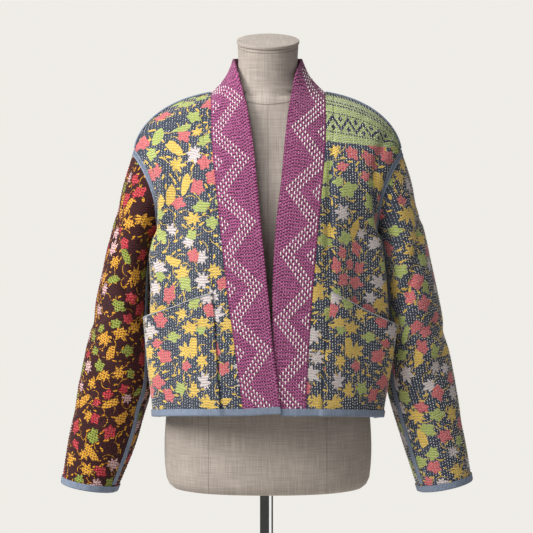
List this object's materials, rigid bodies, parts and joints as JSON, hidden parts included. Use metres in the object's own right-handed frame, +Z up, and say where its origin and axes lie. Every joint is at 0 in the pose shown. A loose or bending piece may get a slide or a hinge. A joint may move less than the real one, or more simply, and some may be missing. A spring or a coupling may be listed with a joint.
{
  "type": "kimono jacket on a dress form",
  "caption": "Hollow quilted patchwork kimono jacket with a straight collar band, patch pockets and wide open sleeves, worn by a limbless dress form on a round pole stand.",
  "frame": {"origin": "middle of the base plate's underside, under the pole", "axes": "+Z up, -Y the wearer's front, +X the wearer's left, which is the viewer's right"},
  "size_m": [0.6906, 0.35, 1.4885],
  "materials": {
    "navy_leaf_quilt": "matt quilted cotton, navy with printed leaves",
    "maroon_leaf_quilt": "matt quilted cotton, dark maroon with printed leaves",
    "purple_quilt": "matt quilted cotton, purple with white stitching",
    "blue_tape": "plain woven cotton tape, slate blue",
    "linen_cover": "grey beige linen",
    "polished_steel": "polished"
  },
  "bodies": {
    "root": {"armhole_tape_left": "blue_tape", "armhole_tape_right": "blue_tape", "back_panel": "navy_leaf_quilt", "collar_band": "purple_quilt", "cuff_binding_left": "blue_tape", "cuff_binding_right": "blue_tape", "form_body": "linen_cover", "form_cap": "linen_cover", "front_panel_left": "navy_leaf_quilt", "front_panel_right": "navy_leaf_quilt", "front_strip_left": "navy_leaf_quilt", "front_strip_right": "navy_leaf_quilt", "hem_binding_back": "blue_tape", "hem_binding_front_left": "blue_tape", "hem_binding_front_right": "blue_tape", "pocket_left": "navy_leaf_quilt", "pocket_right": "navy_leaf_quilt", "shoulder_tape_left": "blue_tape", "shoulder_tape_right": "blue_tape", "sleeve_left": "navy_leaf_quilt", "sleeve_right": "maroon_leaf_quilt", "sleeve_tape_left": "blue_tape", "sleeve_tape_right": "blue_tape", "stand_base": "polished_steel", "stand_pole": "polished_steel"}
  },
  "joints": []
}
